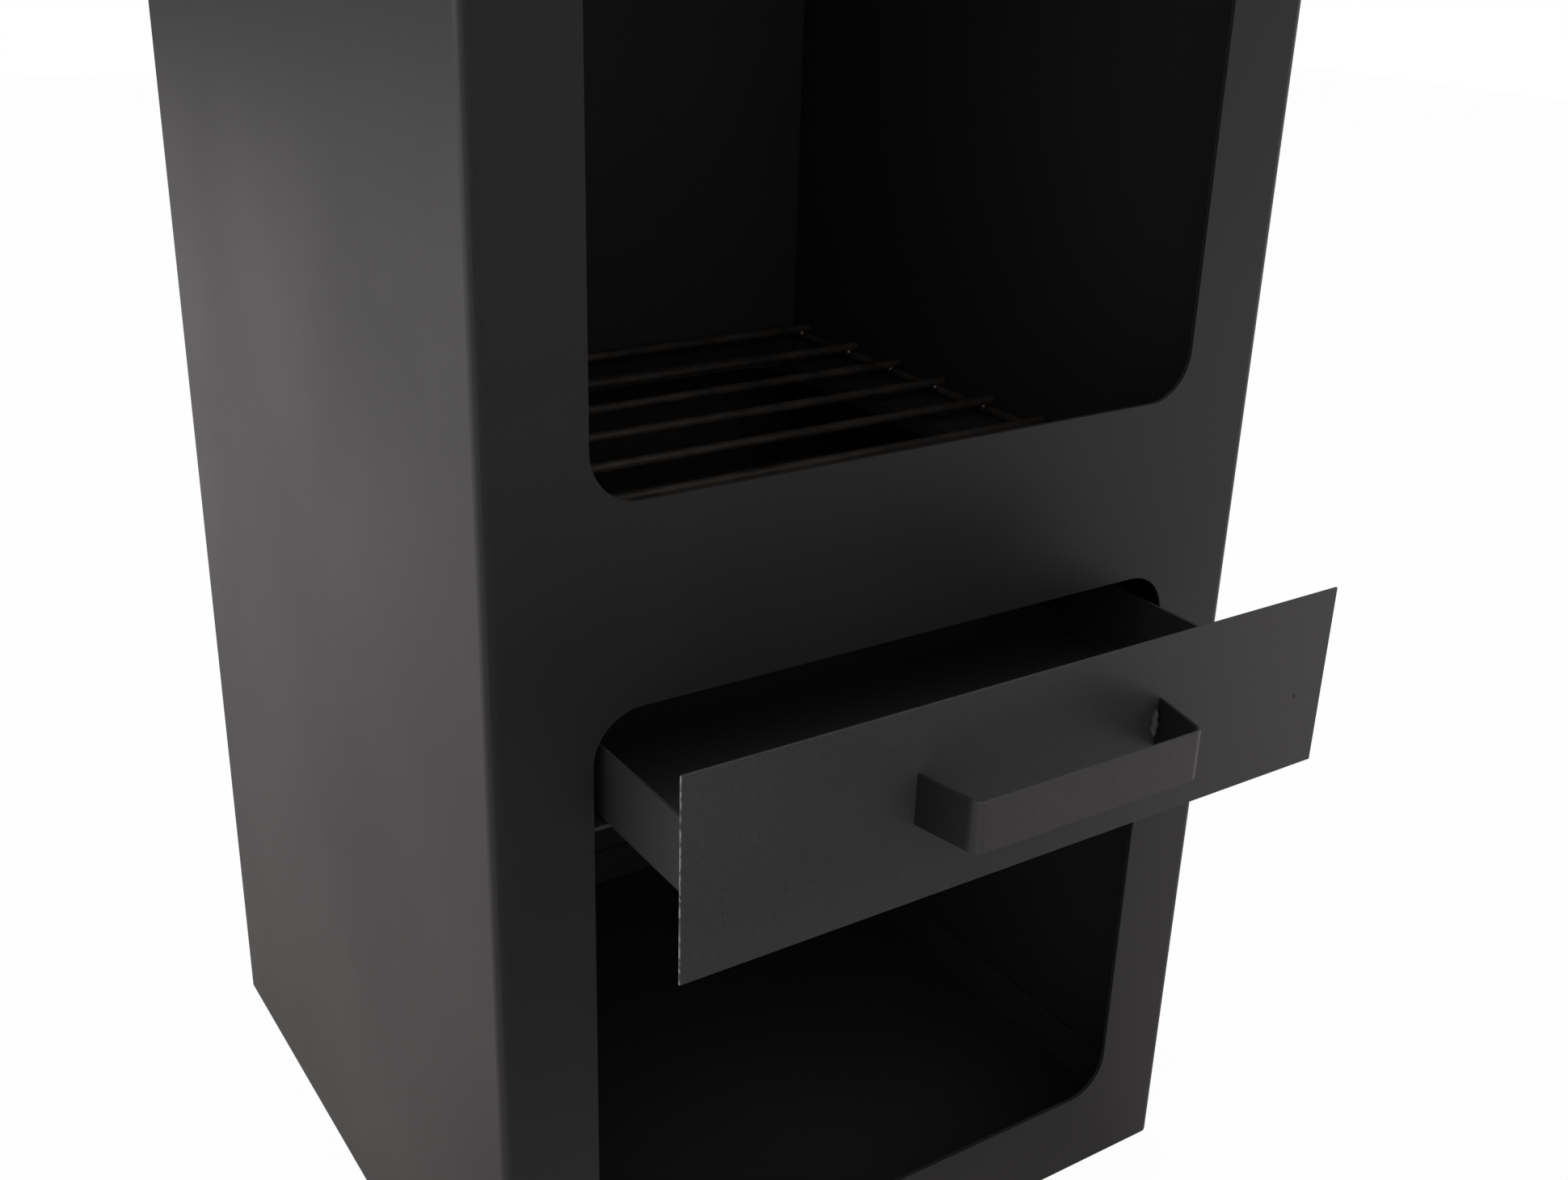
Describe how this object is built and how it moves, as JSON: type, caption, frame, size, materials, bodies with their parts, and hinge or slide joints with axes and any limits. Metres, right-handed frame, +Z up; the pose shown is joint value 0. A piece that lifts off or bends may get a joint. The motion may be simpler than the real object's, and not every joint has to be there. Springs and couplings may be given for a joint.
{
  "type": "outdoor fireplace",
  "caption": "Square black steel garden fireplace with a fire opening, a sliding ash drawer over a wood store, a loose wire grate, a sloped hood and a capped chimney.",
  "frame": {"origin": "middle of the column's footprint, on the ground", "axes": "+Z up the chimney, -Y out of the front openings, +X to the right as seen from the front"},
  "size_m": [0.4602, 0.587, 1.5056],
  "materials": {
    "black_powder_coat": "satin black powder coat on folded steel sheet",
    "drawer_powder_coat": "satin black powder coat, thin at the cut edges",
    "grate_steel": "dark drawn rod with a faint warm sheen",
    "weld_bead": "bare weld spots",
    "blackened_screw": "blackened steel"
  },
  "bodies": {
    "casing": {"body_shell": "black_powder_coat", "back_panel": "black_powder_coat", "store_floor": "black_powder_coat", "drawer_shelf": "black_powder_coat", "grate_shelf": "black_powder_coat", "tray_guide_left": "black_powder_coat", "tray_guide_right": "black_powder_coat", "hood": "black_powder_coat", "chimney_stack": "black_powder_coat", "cap_legs": "black_powder_coat", "rain_cap": "black_powder_coat", "hood_screws": "blackened_screw", "hood_nuts": "blackened_screw", "stack_screws": "blackened_screw", "stack_nuts": "blackened_screw", "cap_screws": "blackened_screw", "cap_nuts": "blackened_screw"},
    "drawer": {"ash_tray": "drawer_powder_coat", "drawer_front": "drawer_powder_coat", "drawer_handle": "drawer_powder_coat", "handle_welds": "drawer_powder_coat"},
    "grate": {"grate_bars": "grate_steel", "grate_bearers": "grate_steel", "grate_welds": "weld_bead"}
  },
  "joints": [
    {"name": "drawer_slide", "type": "slide", "parent": "casing", "child": "drawer", "axis": [0, -1, 0], "range_m": [-0.0997, 0.2]},
    {"name": "grate_lift", "type": "slide", "parent": "casing", "child": "grate", "axis": [0, 0, 1], "range_m": [0, 0.2]}
  ]
}
